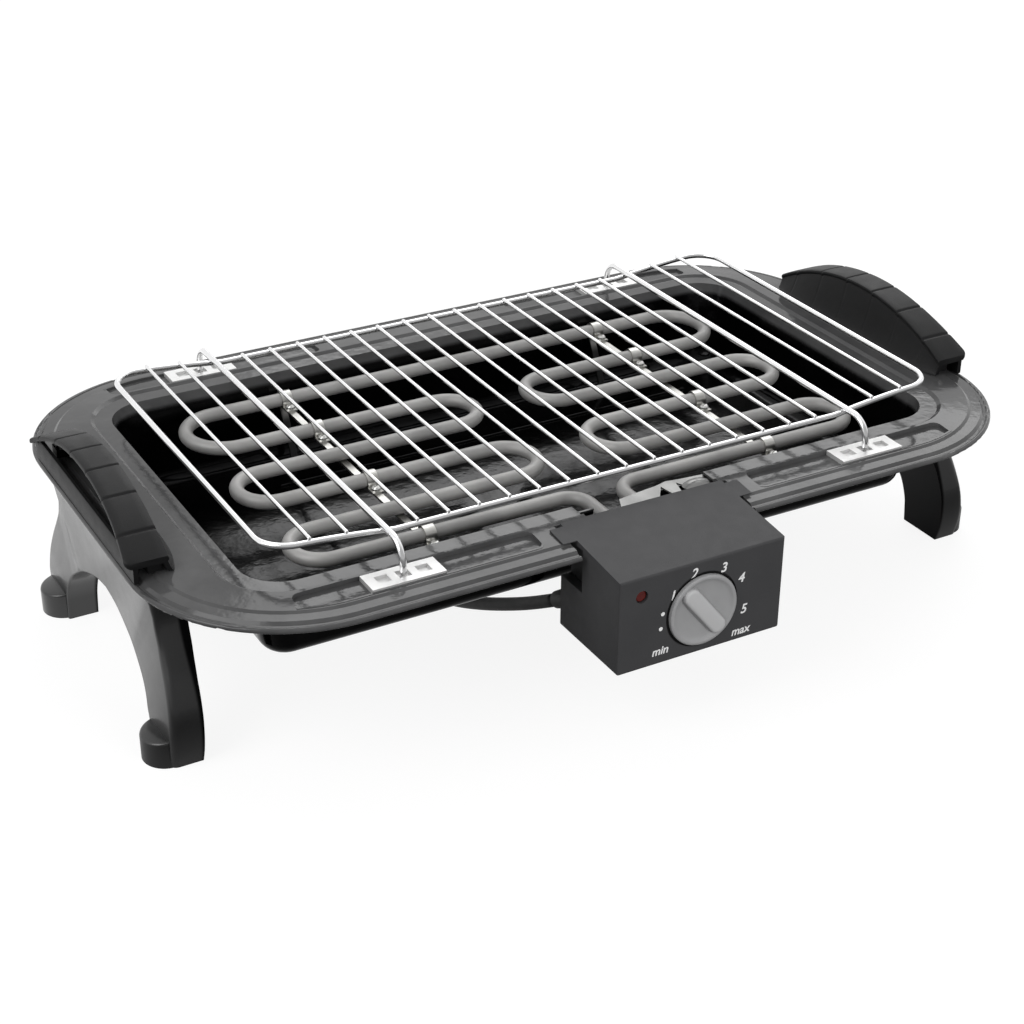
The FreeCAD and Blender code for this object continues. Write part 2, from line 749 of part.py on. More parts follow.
def make_support(side):
    """A moulded side support: an arch on two feet, open towards the inside, with a rounded toe on each foot."""
    outer_view = []
    arcs = {}
    right = [
        V(0, support_half_y, 0), V(0, support_half_y, 38), V(0, support_waist_y, 56), V(0, support_top_y, support_top_z + 3),
    ]
    left = [V(0, -point.y, point.z) for point in right[::-1]]
    inner_right = [V(0, -arch_foot_y, 0), V(0, -arch_foot_y, foot_height), V(0, arch_foot_y, foot_height)]
    outer_view = right + left + inner_right + [V(0, arch_foot_y, 0)]
    arcs[1] = V(0, support_waist_y + 2.8, 47.5)
    arcs[5] = V(0, -support_waist_y - 2.8, 47.5)
    arcs[9] = V(0, 0, arch_top_z)
    outline = Part.Face(wire_of(outer_view, arcs))
    cross = [
        V(support_inner_x, -100, 0), V(support_outer_x, -100, 0), V(support_outer_x, -100, 39),
        V(support_top_outer_x, -100, support_top_z - 0.3), V(support_outer_x - 1.5, -100, support_top_z - 0.3),
        V(support_outer_x - 1.5, -100, support_top_z + 2.2), V(support_inner_x + 3, -100, support_top_z + 2.2),
        V(support_inner_x - 1.5, -100, 40),
    ]
    limits = prism(cross, V(0, 200, 0))
    outline.translate(V(support_inner_x - 5, 0, 0))
    support = outline.extrude(V(30, 0, 0)).common(limits)
    inset = outline.makeOffset2D(-support_wall)
    hollow_limits = limits.copy()
    hollow_limits.translate(V(-support_wall, 0, 0))
    support = support.cut(inset.extrude(V(30, 0, 0)).common(hollow_limits.fuse(box_between(
        (support_inner_x - 6, -100, 0), (support_outer_x - support_wall - 2, 100, support_top_z + 2.2 - support_wall)))))
    toe_y = (arch_foot_y + support_half_y) / 2
    half = (support_half_y - arch_foot_y) / 2
    toe_view = [V(0, 0, 0), V(half, 0, 0), V(half, 0, toe_wall), V(toe_top_radius, 0, toe_height), V(0, 0, toe_height)]
    toe = Part.Face(wire_of(toe_view, {2: toe_dome})).revolve(V(0, 0, 0), Z_AXIS, 360)
    for end in (-1, 1):
        placed = toe.copy()
        placed.translate(V(support_outer_x + toe_reach - half, end * toe_y, 0))
        support = support.fuse(placed.common(box_between((support_outer_x - 1, -100, 0), (cut_reach, 100, toe_height))))
    support = support.removeSplitter()
    return support if side > 0 else support.mirror(V(0, 0, 0), X_AXIS)


def handle_arc_z(y, inset):
    """Height of the handle's arch, or of its underside, at one place across the tub."""
    rise = handle_crown_z - handle_end_z
    outer = (handle_half_y ** 2 + rise ** 2) / (2 * rise)
    radius = outer - inset
    return handle_crown_z - outer + math.sqrt(radius ** 2 - y ** 2)


def arch_region(half_y, inset, low_z, x, travel):
    """The block under an arch from a flat bottom, pushed along the length of the grill."""
    edge_z = handle_arc_z(half_y, inset)
    points = [V(x, -half_y, low_z), V(x, half_y, low_z), V(x, half_y, edge_z), V(x, -half_y, edge_z)]
    arcs = {2: V(x, 0, handle_arc_z(0, inset))}
    return prism(points, V(travel, 0, 0), arcs)


def make_handle(side):
    """A hooded handle: an arched strip over a closed inner skirt and a low outer band, with the finger slot between."""
    low_z = handle_foot_z
    half = handle_half_y
    inner_x = handle_strip_inner_x
    strip_width = handle_strip_outer_x - inner_x
    strip = arch_region(half, 0, low_z, inner_x, strip_width)
    strip = strip.cut(arch_region(half + 5, handle_strip, low_z - 1, inner_x - 1, strip_width + 2))
    band_top_z = low_z + handle_band_share * (handle_crown_z - low_z)
    band = arch_region(half, 1, low_z, handle_band_x, handle_band_thickness)
    band = band.common(box_between((0, -half, low_z), (cut_reach, half, band_top_z)))
    knee_z = (handle_skirt_foot_z + handle_crown_z) / 2
    skirt_top = handle_crown_z + 1
    slope = [
        V(handle_skirt_foot_x, -half, handle_skirt_foot_z),
        V(handle_skirt_foot_x + handle_wall, -half, handle_skirt_foot_z),
        V(inner_x + handle_wall, -half, knee_z), V(inner_x + handle_wall, -half, skirt_top),
        V(inner_x, -half, skirt_top), V(inner_x, -half, knee_z),
    ]
    skirt = prism(slope, V(0, 2 * half, 0)).common(arch_region(handle_skirt_half_y, 0, low_z, handle_skirt_foot_x - 5, 40))
    handle = strip.fuse(band).fuse(skirt)
    for end in (-1, 1):
        wall_y = sorted((end * (half - handle_wall), end * half))
        wall = box_between((inner_x, wall_y[0], ledge_z + 1.2), (handle_band_x + 1, wall_y[1], cut_reach))
        handle = handle.fuse(wall.common(arch_region(half, 0.5, low_z, inner_x - 1, 30)))
    for step in (-2, -1, 0, 1, 2):
        y = step * groove_pitch
        z = handle_arc_z(y, groove_depth)
        groove = box_between((inner_x - 1, y - groove_width / 2, z), (cut_reach, y + groove_width / 2, z + 9))
        handle = handle.cut(groove)
    handle = handle.removeSplitter()
    return handle if side > 0 else handle.mirror(V(0, 0, 0), X_AXIS)


def mount_places(side):
    """The middles of the two blocks under one handle's ends."""
    y = handle_half_y - handle_wall - mount_half_y - 0.7
    return [V(side * mount_x, end * y, 0) for _, end in ENDS]


def make_mounts(side):
    """The two blocks that hold a handle's ends down on the flange."""
    blocks = []
    for place in mount_places(side):
        low = place + V(-mount_half_x, -mount_half_y, ledge_z + 0.7)
        block = Part.makeBox(2 * mount_half_x, 2 * mount_half_y, mount_top_z - low.z, low)
        blocks.append(block.makeFillet(1.0, [edge for edge in block.Edges if edge.BoundBox.ZLength > 1]))
    return Part.makeCompound(blocks)


def make_mount_screws(side):
    """The screws on one handle's blocks."""
    seat = V(0, 0, mount_top_z)
    return Part.makeCompound([screw_head(place + seat, mount_screw_radius, mount_screw_head) for place in mount_places(side)])


def cord_exit():
    """Where the cord begins, just past the gland's mouth."""
    direction = V(gland_direction).normalize()
    return gland_start + direction * (gland_length + cord_gap)


def make_gland():
    """The tapered strain relief on the back of the control box."""
    direction = V(gland_direction).normalize()
    root = gland_start - direction * 4
    cone = Part.makeCone(6.6, cord / 2 + 1.0, gland_length + 4, root, direction)
    behind = box_between((-80, box_rear_y, 0), (80, 0, 120))
    flange = Part.makeCylinder(8.2, 1.5, gland_start, Y_AXIS)
    return cone.common(behind).fuse(flange).removeSplitter()


def turn_angle(before, corner, after):
    """How far a route turns at one of its points, in radians."""
    return (corner - before).getAngle(after - corner)


def cord_path(points):
    """Straight runs joined by tangent arcs, each as large as its two runs allow."""
    radii = []
    for before, corner, after in zip(points, points[1:], points[2:]):
        shorter = min((corner - before).Length, (after - corner).Length)
        radii.append(0.45 * shorter / math.tan(turn_angle(before, corner, after) / 2))
    print("cord radii", [round(radius) for radius in radii])
    return bent_path(points, radii)


def make_cord():
    """The cord's free stretch, from the gland to the coil."""
    start = cord_exit()
    points = [start] + [V(*point) for point in cord_points] + [coil_start()]
    path = cord_path(points)
    tube = tube_on(path, cord)
    expected = math.pi * cord ** 2 / 4 * path.Length
    print("cord length", round(path.Length, 1), "volume share", round(tube.Volume / expected, 4))
    return tube


def arc_leaving(start, tangent, end):
    """The arc that leaves start along tangent and reaches end."""
    chord = end - start
    along = V(chord).normalize()
    side = (tangent - along * tangent.dot(along)).normalize()
    lean = tangent.getAngle(chord)
    middle = (start + end) * 0.5 + side * (chord.Length / 2 * math.tan(lean / 2))
    return Part.Arc(start, middle, end)


def coil_arcs():
    """The coil's turns as half-turn arcs: in along the table, up a layer on two quarter arcs, and out on top."""
    step = coil_pitch / 2
    point = V(coil_centre[0] - coil_outer_radius, coil_centre[1], coil_lie)
    rise = V(0, 0, coil_pitch)
    arcs = []
    direction = 1
    for level in (0, 1, 2, 3, 2, 1, 0):
        radius = coil_outer_radius - level * step
        across = V(direction * radius, 0, 0)
        bulge = V(0, direction * radius, 0)
        if level < 3:
            end = point + across * 2
            arcs.append(Part.Arc(point, point + across + bulge, end))
        else:
            end = point + across * 2 + rise
            middle = point + across + bulge + rise / 2
            arcs.append(arc_leaving(point, bulge, middle))
            last_quarter = arc_leaving(end, bulge, middle)
            halfway = (last_quarter.FirstParameter + last_quarter.LastParameter) / 2
            arcs.append(Part.Arc(middle, last_quarter.value(halfway), end))
        point = end
        direction = -direction
    return arcs


def coil_start():
    """Where the coil's cord begins, a straight diameter before its first turn."""
    return V(coil_centre[0] - coil_outer_radius, coil_centre[1] - cord, coil_lie)


def coil_end():
    """Where the coil's cord meets the plug, after rising to the plug's axis."""
    last = coil_arcs()[-1]
    return last.value(last.LastParameter) + V(0, -plug_rise_length - cord, plug_rise)


def make_coil():
    """The put-away length as a coil of real turns, one unbroken tube that rises to the plug at its end."""
    arcs = coil_arcs()
    first = arcs[0].value(arcs[0].FirstParameter)
    last = arcs[-1].value(arcs[-1].LastParameter)
    risen = last + V(0, -plug_rise_length, plug_rise)
    middle = (last + risen) / 2
    arcs.append(arc_leaving(last, -Y_AXIS, middle))
    landing = arc_leaving(risen, Y_AXIS, middle)
    halfway = (landing.FirstParameter + landing.LastParameter) / 2
    arcs.append(Part.Arc(middle, landing.value(halfway), risen))
    edges = [Part.LineSegment(coil_start(), first).toShape()]
    edges += [arc.toShape() for arc in arcs]
    edges.append(Part.LineSegment(risen, coil_end()).toShape())
    path = Part.Wire(edges)
    tube = tube_on(path, cord)
    places = path.discretize(Distance=2.0)
    gaps = [
        (first_place - second_place).Length - cord
        for index, first_place in enumerate(places)
        for second_place in places[index + 14:]
    ]
    expected = math.pi * cord ** 2 / 4 * path.Length
    print("coil length", round(path.Length, 1), "least gap", round(min(gaps), 2))
    print("coil volume share", round(tube.Volume / expected, 4))
    return tube


def make_tie():
    """A flat strap round the coil's four turns, on the side away from the grill."""
    half_z = (coil_pitch + cord) / 2 + tie_gap
    drift = coil_pitch / 2 + tie_width / 2
    inner_radius = coil_outer_radius - coil_pitch - cord / 2
    near = math.sqrt(inner_radius ** 2 - drift ** 2)
    far = coil_outer_radius + cord / 2
    half_y = (far - near) / 2 + tie_gap
    outside = ring_solid(half_z + tie_thickness, half_y + tie_thickness, 4.5, 0, tie_width)
    strap = outside.cut(ring_solid(half_z, half_y, 3.8, -1, tie_width + 1))
    strap.rotate(V(0, 0, 0), Y_AXIS, 90)
    middle_x = coil_centre[0] + coil_pitch / 2 - tie_width / 2
    strap.translate(V(middle_x, coil_centre[1] + (near + far) / 2, coil_lie + coil_pitch / 2))
    return strap


def make_plug_body():
    """The moulded plug: a slim boot that flares into a round body with two flat grips."""
    start = coil_end() - V(0, 0.05, 0)
    neck = cord / 2 + 0.9
    profile = [
        V(0, 0, 0), V(neck, 0, 0), V(neck + 1.6, plug_boot_length, 0), V(plug_radius * 0.62, plug_boot_length + 6, 0),
        V(plug_radius, plug_boot_length + 20, 0), V(plug_radius, plug_boot_length + plug_body_length, 0),
        V(0, plug_boot_length + plug_body_length, 0),
    ]
    body = Part.Face(wire_of(profile)).revolve(V(0, 0, 0), Y_AXIS, 360)
    rims = [edge for edge in body.Edges if edge.BoundBox.YMin > plug_boot_length + plug_body_length - 0.1]
    body = body.makeFillet(1.2, rims)
    for side in (-1, 1):
        flat = Part.makeCylinder(40, 60, V(side * (40 + plug_radius * 0.78), plug_boot_length + 6, -30))
        body = body.cut(flat)
    body.rotate(V(0, 0, 0), Z_AXIS, 180)
    body.translate(start)
    return body


def make_plug_pins():
    """The plug's two round pins with bevelled ends."""
    face = coil_end() - V(0, plug_boot_length + plug_body_length + 0.05, 0)
    pins = []
    for side in (-1, 1):
        pin = Part.makeCylinder(plug_pin_radius, plug_pin_length, face + V(side * plug_pin_spacing / 2, 0, 0), -Y_AXIS)
        tip = [edge for edge in pin.Edges if edge.BoundBox.YMax < face.y - plug_pin_length + 0.1]
        pins.append(pin.makeChamfer(1.2, tip))
    return Part.makeCompound(pins)


def main():
    os.makedirs("parts", exist_ok=True)
    export("tub", make_tub())
    for side_name, side in SIDES:
        export("side_support_" + side_name, make_support(side))
        export("handle_" + side_name, make_handle(side))
        export("handle_mounts_" + side_name, make_mounts(side))
        export("mount_screws_" + side_name, make_mount_screws(side))
        export("rack_leg_" + side_name, make_rack_leg(side))
        for end_name, end in ENDS:
            export("height_plate_%s_%s" % (end_name, side_name), make_plate(side, end))
    export("rack_frame", make_rack_frame())
    export("rack_rods", make_rack_rods())
    export("heating_element", make_element())
    for (side_name, _), x in zip(SIDES, bracket_x):
        export("element_bracket_" + side_name, make_bracket(x))
        export("element_clips_" + side_name, make_clips(x))
        export("clip_screws_" + side_name, make_clip_screws(x))
    export("heat_shield", make_shield())
    export("box_cover", make_box_cover())
    export("box_back", make_box_back())
    export("knob", make_knob())
    export("thermostat_shaft", make_shaft())
    export("thermostat_body", make_thermostat())
    export("indicator_lens", make_lens())
    export("strain_relief", make_gland())
    export("power_cord", make_cord())
    export("cord_coil", make_coil())
    export("cord_tie", make_tie())
    export("plug_body", make_plug_body())
    export("plug_pins", make_plug_pins())


main()
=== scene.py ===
import math
import bmesh
import bpy
import numpy as np
from mathutils import Matrix, Vector


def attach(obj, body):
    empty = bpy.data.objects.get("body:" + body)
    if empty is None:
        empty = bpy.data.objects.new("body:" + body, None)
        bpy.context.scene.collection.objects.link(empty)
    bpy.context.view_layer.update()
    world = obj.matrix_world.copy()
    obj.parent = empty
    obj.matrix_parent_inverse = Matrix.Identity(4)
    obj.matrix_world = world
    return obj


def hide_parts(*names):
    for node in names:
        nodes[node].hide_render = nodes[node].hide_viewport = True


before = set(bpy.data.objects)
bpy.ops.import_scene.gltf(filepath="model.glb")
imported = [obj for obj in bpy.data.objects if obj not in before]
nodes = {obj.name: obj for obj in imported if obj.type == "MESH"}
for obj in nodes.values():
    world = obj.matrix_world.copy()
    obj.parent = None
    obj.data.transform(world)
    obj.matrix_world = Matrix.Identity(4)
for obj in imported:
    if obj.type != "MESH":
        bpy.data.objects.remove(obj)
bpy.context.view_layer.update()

scene = bpy.context.scene
scene.view_settings.view_transform = "Standard"
# Pieces are drawn in millimetres about the tub's middle, which lies this far behind the frame's origin.
MM = 0.001
MIDDLE_Y = 16.3

# The view.
# A camera fitted to the grill's rods, rim and feet. It stands in front of the left end and looks down on the
# rack.
EYE = Vector((-470.3, -814.0, 554.4)) * MM
YAW, PITCH, ROLL = (math.radians(angle) for angle in (29.30, 28.66, 0.33))
FOCAL_PIXELS, IMAGE_PIXELS, SENSOR = 1972.6, 1024, 36
ahead = Vector((math.sin(YAW) * math.cos(PITCH), math.cos(YAW) * math.cos(PITCH), -math.sin(PITCH)))
level = Vector((math.cos(YAW), -math.sin(YAW), 0))
upright = level.cross(ahead)
right = level * math.cos(ROLL) + upright * math.sin(ROLL)
up = upright * math.cos(ROLL) - level * math.sin(ROLL)
camera = bpy.data.objects.new("camera", bpy.data.cameras.new("camera"))
camera.matrix_world = Matrix.Translation(EYE) @ Matrix((right, up, -ahead)).transposed().to_4x4()
camera.data.sensor_width = SENSOR
camera.data.lens = FOCAL_PIXELS / IMAGE_PIXELS * SENSOR
camera.data.clip_start = 0.05
scene.collection.objects.link(camera)
scene.camera = camera

# The tub.
# Pressed steel sheet under gloss black enamel: a tapered basin, a ledge, a step and a sloping flange with a
# beaded rim.


class Value:
    """One output of a node. Sums on it add Math nodes to its tree."""

    def __init__(self, tree, socket):
        self.tree = tree
        self.socket = socket

    def math(self, operation, first, second=None):
        inputs = {0: first} if second is None else {0: first, 1: second}
        return self.tree.node("ShaderNodeMath", {"operation": operation}, inputs)

    def __add__(self, other):
        return self.math("ADD", self, other)

    def __rsub__(self, other):
        return self.math("SUBTRACT", other, self)

    def __mul__(self, other):
        return self.math("MULTIPLY", self, other)

    __radd__ = __add__
    __rmul__ = __mul__

    def step(self, low, high):
        """0 below low, 1 above high, and a smooth rise between."""
        inputs = {"Value": self, "From Min": low, "From Max": high}
        return self.tree.node("ShaderNodeMapRange", {"interpolation_type": "SMOOTHSTEP"}, inputs)


class Tree:
    """A node tree: it makes nodes and joins them."""

    def __init__(self, net):
        self.net = net

    def node(self, kind, settings=None, inputs=None, output=0):
        """A node: its settings first, then its sockets' values or links. Gives one of its outputs."""
        node = self.net.nodes.new(kind)
        for key, value in (settings or {}).items():
            setattr(node, key, value)
        for key, value in (inputs or {}).items():
            self.join(node.inputs[key], value)
        return Value(self, node.outputs[output])

    def join(self, socket, value):
        """Links a value to a socket, or sets a constant on it."""
        if isinstance(value, Value):
            self.net.links.new(value.socket, socket)
        elif socket.type == "RGBA" and not hasattr(value, "__len__"):
            socket.default_value = (value, value, value, 1)
        elif socket.type == "RGBA":
            socket.default_value = (*value[:3], 1)
        else:
            socket.default_value = value

    def ray(self, kind):
        """1 for rays of one kind, such as Camera, and 0 for others."""
        return self.node("ShaderNodeLightPath", output="Is %s Ray" % kind)


class Finish(Tree):
    """A material of the grill: its Principled shader and what feeds it."""

    def __init__(self, name, **sockets):
        self.material = bpy.data.materials.new(name)
        self.material.use_nodes = True
        super().__init__(self.material.node_tree)
        self.shader = self.net.nodes["Principled BSDF"]
        self.place = self.node("ShaderNodeTexCoord", output="Object")
        for socket, value in sockets.items():
            self.feed(socket.replace("_", " ").title().replace("Ior", "IOR"), value)

    def feed(self, socket, value):
        self.join(self.shader.inputs[socket], value)

    def noise(self, scale, detail=3.0):
        """Cloudy noise between 0 and 1, scale per metre."""
        inputs = {"Vector": self.place, "Scale": scale, "Detail": detail, "Roughness": 0.55}
        return self.node("ShaderNodeTexNoise", None, inputs)

    def blend(self, share, low, high):
        """A colour between two, by share."""
        return self.node("ShaderNodeMix", {"data_type": "RGBA"}, {0: share, 6: low, 7: high}, 2)

    def bump(self, height, distance):
        """Relief of a height between 0 and 1 times distance in metres."""
        inputs = {"Height": height, "Distance": distance, "Strength": 1.0}
        self.feed("Normal", self.node("ShaderNodeBump", None, inputs))

    def axis(self, name):
        """One coordinate, in metres."""
        return self.node("ShaderNodeSeparateXYZ", None, {0: self.place}, name)

    def on(self, *names):
        """Puts this material on CAD nodes."""
        for name in names:
            nodes[name].material_slots[0].material = self.material


# Below the ledge the enamel is painted near black, painted shade in the basin, and set partly metallic, which
# keeps its reflections dark. The flange above is painted paler, painted light on the same enamel.
enamel = Finish("gloss black enamel", roughness=0.1, specular_ior_level=0.3)
mottle = enamel.noise(35.0).step(0.35, 0.7)
flange_painted_light = enamel.blend(mottle, (0.062, 0.062, 0.063), (0.085, 0.085, 0.086))
basin_painted_shade = enamel.blend(mottle, (0.003, 0.003, 0.0032), (0.006, 0.006, 0.0064))
above = enamel.axis("Z").step(0.088, 0.0915)
enamel.feed("Base Color", enamel.blend(above, basin_painted_shade, flange_painted_light))
enamel.feed("Metallic", 0.75 * (1 - above))
enamel.feed("Roughness", 0.07 + 0.1 * enamel.noise(60.0, 4.0))
enamel.bump(enamel.noise(190.0, 2.0), 0.00012)
enamel.on("tub")

# The side supports.
# Satin black mouldings under the flange's ends, each an arch on two feet with rounded toes. The inner side is
# set metallic and near black, which keeps its reflections dark: painted shade, with no coat on that side.
support_plastic = Finish("satin black moulding", roughness=0.35, coat_roughness=0.12)
cloud = support_plastic.noise(25.0)
support_plastic.feed("Base Color",
                     support_plastic.blend(cloud, (0.004, 0.004, 0.0042), (0.007, 0.007, 0.0074)))
across = support_plastic.axis("X")
unshaded_outer_side = across.math("ABSOLUTE", across).step(0.2223, 0.2243)
support_plastic.feed("Metallic", 1 - unshaded_outer_side)
support_plastic.feed("Coat Weight", 0.4 * unshaded_outer_side)
support_plastic.feed("Roughness", 0.26 + 0.14 * support_plastic.noise(90.0))
support_plastic.bump(support_plastic.noise(2600.0, 2.0), 0.00003)
SIDES = (("left", -1), ("right", 1))
# The arch's edge and the outer edge as (y, z), from the foot to the middle.
ARCH = [(63, 0), (62.5, 8), (62, 15), (56.7, 28), (44, 37.5), (34.5, 43), (14.5, 50), (0, 51.5)]
OUTLINE = [(90.5, 0), (93, 8), (93.9, 18.5), (92.8, 30), (87, 43), (81, 52), (76.5, 60), (72, 72), (73.5, 84),
           (74, 90), (50, 90), (25, 90), (0, 90)]
# The face's and the inner side's distance from the middle, at these heights.
HEIGHTS = (0, 18, 30, 43, 58, 72, 80, 88, 92)
FACE_X = (238.6, 238.6, 237.4, 236.0, 234.6, 234.8, 236.2, 238.6, 240.0)
OPEN_X = (222.4, 221.9, 221.5, 220.8, 219.0, 218.5, 218.5, 219.0, 219.0)
SUPPORT_ROWS = 70
OUTER_EDGE, ARCH_EDGE = 4.0, 1.4
TOE_X, TOE_Y, TOE_CUT_X, TOE_TIP_X = 236.0, 77.0, 236.6, 248.0
TOE_STRETCH, TOE_CLIMB = 1.04, 0.12
TOE_PROFILE = ((0, 12), (12, 12), (12.7, 11.8), (13.1, 11.3), (13.3, 10.6), (13.7, 7), (14, 3))


def loft(rings, closed=False, capped=True):
    """Points and faces of a skin over rings of the same count: quad(i, j) joins ring i to i + 1 and point j
    to j + 1. Each ring closes on itself. A closed loft joins its last ring to the first, else both ends get
    a cap."""
    rings = np.asarray(rings, float)
    count, around = rings.shape[:2]
    row = np.arange(count if closed else count - 1)[:, None] * around
    next_row = (row + around) % (count * around)
    here = np.arange(around)[None]
    there = (here + 1) % around
    corners = np.broadcast_arrays(row + here, row + there, next_row + there, next_row + here)
    quads = np.stack(corners, -1).reshape(-1, 4).tolist()
    if capped and not closed:
        last = (count - 1) * around
        quads += [list(range(around))[::-1], list(range(last, last + around))]
    return rings.reshape(-1, 3), quads


def joined(parts):
    """One list of points and faces out of several."""
    points, faces, start = [], [], 0
    for part_points, part_faces in parts:
        points.append(part_points)
        faces.extend([[corner + start for corner in face] for face in part_faces])
        start += len(part_points)
    return np.concatenate(points), faces


def make(name, skin, finish, body, sharp=40.0):
    """A piece from points in millimetres about the tub's middle and faces. Edges that turn by more than sharp
    degrees stay crisp."""
    points, faces = skin
    mesh = bpy.data.meshes.new(name)
    mesh.from_pydata(((points + (0, MIDDLE_Y, 0)) * MM).tolist(), [], faces)
    shape = bmesh.new()
    shape.from_mesh(mesh)
    bmesh.ops.recalc_face_normals(shape, faces=shape.faces)
    shape.to_mesh(mesh)
    shape.free()
    mesh.shade_smooth()
    mesh.set_sharp_from_angle(angle=math.radians(sharp))
    mesh.materials.append(finish.material)
    piece = bpy.data.objects.new(name, mesh)
    scene.collection.objects.link(piece)
    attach(piece, body)
    return piece


def evenly(line, count):
    """Count places at even steps of a line's length."""
    length = np.concatenate([[0], np.cumsum(np.linalg.norm(np.diff(line, axis=0), axis=1))])
    place = np.linspace(0, length[-1], count)
    return np.stack([np.interp(place, length, column) for column in line.T], 1)


def foot_to_foot(points):
    """An edge over both halves: the corners are cut three times, where each side keeps its middle half, then
    places are taken at even steps and mirrored about the middle."""
    line = np.asarray(points, float)
    for _ in range(3):
        cut = np.stack([line[:-1] * 0.75 + line[1:] * 0.25, line[:-1] * 0.25 + line[1:] * 0.75], 1)
        line = np.concatenate([line[:1], cut.reshape(-1, 2)[1:-1], line[-1:]])
    half = evenly(line, SUPPORT_ROWS)
    return np.concatenate([half, half[-2::-1] * (-1, 1)])


def support_skin(side):
    """The support's skin: a ring at each place along the arch goes out along the end wall, round the outer
    edge, over the face, round the arch's edge and back along the arch's wall. Its points lie at
    x = face - back - share (face - back - inner side), where back is the rounding and share runs to 1 at the
    inner side."""
    near, far = foot_to_foot(ARCH), foot_to_foot(OUTLINE)
    width = np.linalg.norm(near - far, axis=1)[:, None]
    toward = (near - far) / width
    turn = np.linspace(0, np.pi / 2, 7)
    wall = np.linspace(0.25, 1.0, 4)
    share = np.concatenate([wall[::-1], np.zeros(2 * len(turn)), wall])
    back = np.concatenate([OUTER_EDGE + 0 * wall, OUTER_EDGE * (1 - np.sin(turn)),
                           ARCH_EDGE * (1 - np.sin(turn[::-1])), ARCH_EDGE + 0 * wall])
    from_outline = np.concatenate([0 * wall, OUTER_EDGE * (1 - np.cos(turn))])
    from_arch = np.concatenate([ARCH_EDGE * (1 - np.cos(turn[::-1])), 0 * wall])
    along = np.concatenate([from_outline + 0 * width, width - from_arch], 1)
    place = far[:, None] + toward[:, None] * along[..., None]
    face, opened = (np.interp(place[..., 1], HEIGHTS, places) for places in (FACE_X, OPEN_X))
    x = face - back - share * (face - back - opened)
    return loft(np.stack([side * x, place[..., 0], place[..., 1]], -1))


def toe_skin(side, end):
    """A toe: at each height of its profile a disc x = toe x + r cos a, y = toe y + stretch r sin a, cut flat
    where it meets the leg, with z raised by climb for each millimetre toward the leg."""
    angle = np.linspace(0, 2 * np.pi, 72, endpoint=False)
    z, radius = np.array(TOE_PROFILE, float).T[..., None]
    x = np.maximum(TOE_X + radius * np.cos(angle), TOE_CUT_X)
    y = TOE_Y + radius * TOE_STRETCH * np.sin(angle)
    z = z + TOE_CLIMB * (TOE_TIP_X - x)
    z[0] = 0
    return loft(np.stack([side * x, end * y, z], -1))


for name, side in SIDES:
    support = make("support_" + name, support_skin(side), support_plastic, "base", 50)
    toes = joined([toe_skin(side, end) for end in (-1, 1)])
    make("toes_" + name, toes, support_plastic, "base", 50)
    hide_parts("side_support_" + name)

# The handles and their mounts.
# Fine grained black mouldings: an arch with finger grooves and a low outer band, screwed down at both ends.
handle_plastic = Finish("grained black moulding", roughness=0.5, specular_ior_level=0.22)
cloud = handle_plastic.noise(40.0)
handle_plastic.feed("Base Color", handle_plastic.blend(cloud, (0.004, 0.004, 0.0042), (0.008, 0.008, 0.0084)))
handle_plastic.feed("Roughness", 0.42 + 0.16 * handle_plastic.noise(120.0))
handle_plastic.bump(handle_plastic.noise(1700.0, 3.0), 0.00006)
handle_plastic.on("handle_mounts_left", "handle_mounts_right")
HANDLE_HALF, HANDLE_END_Z, HANDLE_CROWN_Z = 73.5, 104.5, 124.5
HANDLE_RISE = HANDLE_CROWN_Z - HANDLE_END_Z
HANDLE_RADIUS = (HANDLE_HALF ** 2 + HANDLE_RISE ** 2) / (2 * HANDLE_RISE)
STRIP_X, STRIP_REACH, STRIP_FLARE = 225.0, 17.0, 4.4
END_TAPER, END_RUN = 3.0, 4.0
GROOVE_PITCH, GROOVE_DEPTH, GROOVE_HALF = 23.4, 0.7, 0.75
SKIRT_X, SKIRT_Z, SKIRT_FLARE, SKIRT_WALL = 217.3, 96.4, 6.0, 2.2
SKIRT_TOP_X = STRIP_X + 0.6
# The strip's section, from its outer edge to its inner one: share of the reach, further out, and up.
STRIP = ((1, -0.4, -3.0), (1, 0, -2.4), (1, 0, -1.3), (1, -0.3, -0.55), (1, -1.1, -0.15), (0.75, 0, 0),
         (0.5, 0, 0), (0.25, 0, 0), (0, 1.1, -0.15), (0, 0.3, -0.55), (0, 0, -1.3), (0, 0.1, -2.2))
BAND_X, BAND_OUT_X, BAND_LOW_Z, BAND_TOP_Z = 240.0, 242.4, 93.4, 106.0


def handle_top(y):
    """The arch's height, z = crown - R + sqrt(R^2 - y^2)."""
    return HANDLE_CROWN_Z - HANDLE_RADIUS + np.sqrt(HANDLE_RADIUS ** 2 - y ** 2)


